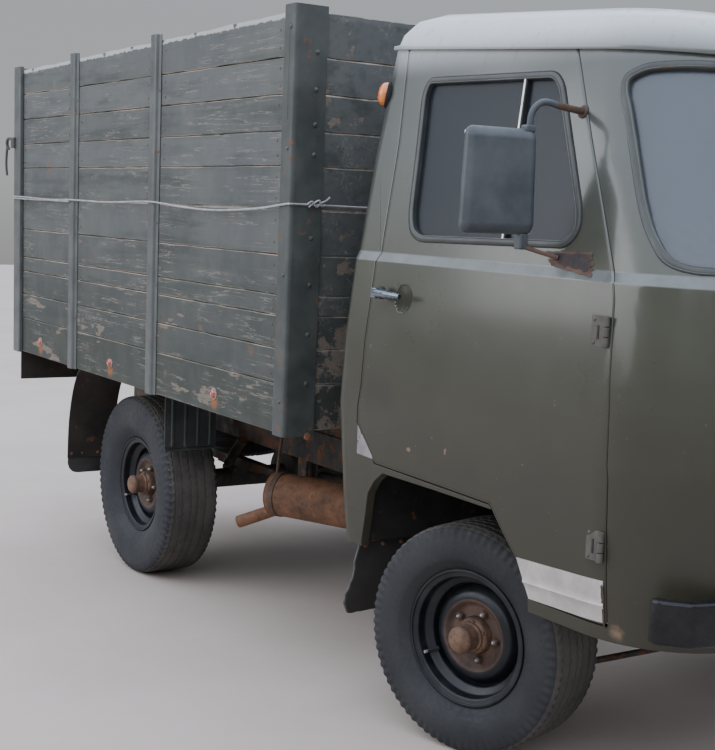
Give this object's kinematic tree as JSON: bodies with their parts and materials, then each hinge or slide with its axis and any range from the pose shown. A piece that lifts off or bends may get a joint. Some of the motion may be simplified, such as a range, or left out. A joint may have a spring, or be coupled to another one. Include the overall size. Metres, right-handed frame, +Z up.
{
  "type": "light military cargo truck",
  "caption": "Light forward-control cargo truck with a tall planked load body, opening doors and tailgate, steered front wheels and rolling wheels.",
  "frame": {"origin": "middle of the truck's footprint, on the ground that its tyres stand on", "axes": "+X to the truck's left, +Y to its rear, +Z up"},
  "size_m": [2.2812, 4.4738, 2.2055],
  "materials": {
    "amber_lens": "clear",
    "bed_planks": "peeling paint",
    "bed_steel": "weathered",
    "black_rubber": "matt",
    "bumper_black": "gloss",
    "cab_paint": "weathered satin",
    "cast_iron": "oily",
    "chrome": "worn",
    "dark_plastic": "satin",
    "floor_steel": "worn",
    "frame_black": "dirty",
    "glass": "clear",
    "gloss_black": "gloss",
    "lamp_glass": "ribbed",
    "radiator_core": "matt",
    "rim_black": "semi-gloss",
    "rusty_steel": "rusty",
    "seat_vinyl": "worn",
    "tyre_rubber": "worn",
    "wire_steel": "dull"
  },
  "bodies": {
    "chassis": {"frame_rails": "frame_black", "frame_cross_members": "frame_black", "spring_hangers": "frame_black", "tow_fittings": "frame_black", "front_axle": "cast_iron", "rear_axle": "cast_iron", "leaf_springs": "frame_black", "dampers": "frame_black", "engine_block": "cast_iron", "radiator": "radiator_core", "gearbox_and_transfer_case": "cast_iron", "drive_shafts": "cast_iron", "exhaust": "rusty_steel", "fuel_tank": "frame_black", "front_bumper": "bumper_black", "cab_floor": "floor_steel", "foot_wells": "floor_steel", "seat_boxes": "floor_steel", "cab_front_panel": "cab_paint", "cab_back_and_sides": "cab_paint", "cab_roof": "cab_paint", "cab_glass": "glass", "engine_cover": "floor_steel", "dashboard": "cab_paint", "seats": "seat_vinyl", "steering_column": "gloss_black", "headlamps": "lamp_glass", "small_lamps": "amber_lens", "bed_floor": "bed_planks", "bed_subframe": "frame_black", "bed_side_left": "bed_planks", "bed_side_right": "bed_planks", "bed_front_wall": "bed_planks", "bed_posts": "bed_steel", "rear_mudguards": "rusty_steel", "front_mudflaps": "black_rubber", "lamp_brackets": "frame_black", "tie_wire": "wire_steel", "spare_wheel": "tyre_rubber"},
    "door_left": {"door_left": "cab_paint", "door_glass_left": "glass", "door_handle_left": "chrome", "mirror_left": "dark_plastic"},
    "door_right": {"door_right": "cab_paint", "door_glass_right": "glass", "door_handle_right": "chrome", "mirror_right": "dark_plastic"},
    "tailgate": {"tailgate": "bed_planks"},
    "steering_wheel": {"steering_wheel": "gloss_black"},
    "knuckle_left": {"knuckle_left": "frame_black"},
    "knuckle_right": {"knuckle_right": "frame_black"},
    "track_rod": {"track_rod": "frame_black"},
    "wheel_front_left": {"tyre_front_left": "tyre_rubber", "wheel_front_left": "rim_black"},
    "wheel_front_right": {"tyre_front_right": "tyre_rubber", "wheel_front_right": "rim_black"},
    "wheel_rear_left": {"tyre_rear_left": "tyre_rubber", "wheel_rear_left": "rim_black"},
    "wheel_rear_right": {"tyre_rear_right": "tyre_rubber", "wheel_rear_right": "rim_black"}
  },
  "joints": [
    {"name": "steer_left", "type": "hinge", "parent": "chassis", "child": "knuckle_left", "pos_m": [0.622, -1.22206, 0.33414], "axis": [0, -0.0204, 0.9998], "range_deg": [-44.6, 11.4]},
    {"name": "steer_right", "type": "hinge", "parent": "chassis", "child": "knuckle_right", "pos_m": [-0.622, -1.22206, 0.33414], "axis": [0, -0.0204, 0.9998], "range_deg": [-44.6, 11.4]},
    {"name": "track_rod_pivot", "type": "hinge", "parent": "knuckle_left", "child": "track_rod", "pos_m": [0.662, -1.35401, 0.22442], "axis": [0, -0.0204, 0.9998], "range_deg": [-11.4, 44.6]},
    {"name": "steering_wheel_turn", "type": "hinge", "parent": "chassis", "child": "steering_wheel", "pos_m": [0.6, -1.71137, 1.27434], "axis": [0, 0.2811, 0.9597], "range_deg": [-713.6, 182.4]},
    {"name": "door_left_hinge", "type": "hinge", "parent": "chassis", "child": "door_left", "pos_m": [0.95, -1.9427, 0.84752], "axis": [0, 0.0204, -0.9998], "range_deg": [0, 70]},
    {"name": "door_right_hinge", "type": "hinge", "parent": "chassis", "child": "door_right", "pos_m": [-0.95, -1.9427, 0.84752], "axis": [0, -0.0204, 0.9998], "range_deg": [0, 70]},
    {"name": "tailgate_hinge", "type": "hinge", "parent": "chassis", "child": "tailgate", "pos_m": [0, 2.22488, 1.0087], "axis": [-1, 0, 0], "range_deg": [0, 90]},
    {"name": "wheel_spin_front_left", "type": "hinge", "parent": "knuckle_left", "child": "wheel_front_left", "pos_m": [0.737, -1.18779, 0.33484], "axis": [0.9583, 0.2856, 0.0058], "continuous": true},
    {"name": "wheel_spin_front_right", "type": "hinge", "parent": "knuckle_right", "child": "wheel_front_right", "pos_m": [-0.737, -1.25634, 0.33344], "axis": [0.9583, 0.2856, 0.0058], "continuous": true},
    {"name": "wheel_spin_rear_left", "type": "hinge", "parent": "chassis", "child": "wheel_rear_left", "pos_m": [0.722, 1.07746, 0.38113], "axis": [1, 0, 0], "continuous": true},
    {"name": "wheel_spin_rear_right", "type": "hinge", "parent": "chassis", "child": "wheel_rear_right", "pos_m": [-0.722, 1.07746, 0.38113], "axis": [1, 0, 0], "continuous": true}
  ],
  "couplings": [
    {"joint": "steer_right", "follows": "steer_left", "ratio": 1},
    {"joint": "track_rod_pivot", "follows": "steer_left", "ratio": -1},
    {"joint": "steering_wheel_turn", "follows": "steer_left", "ratio": 16}
  ]
}
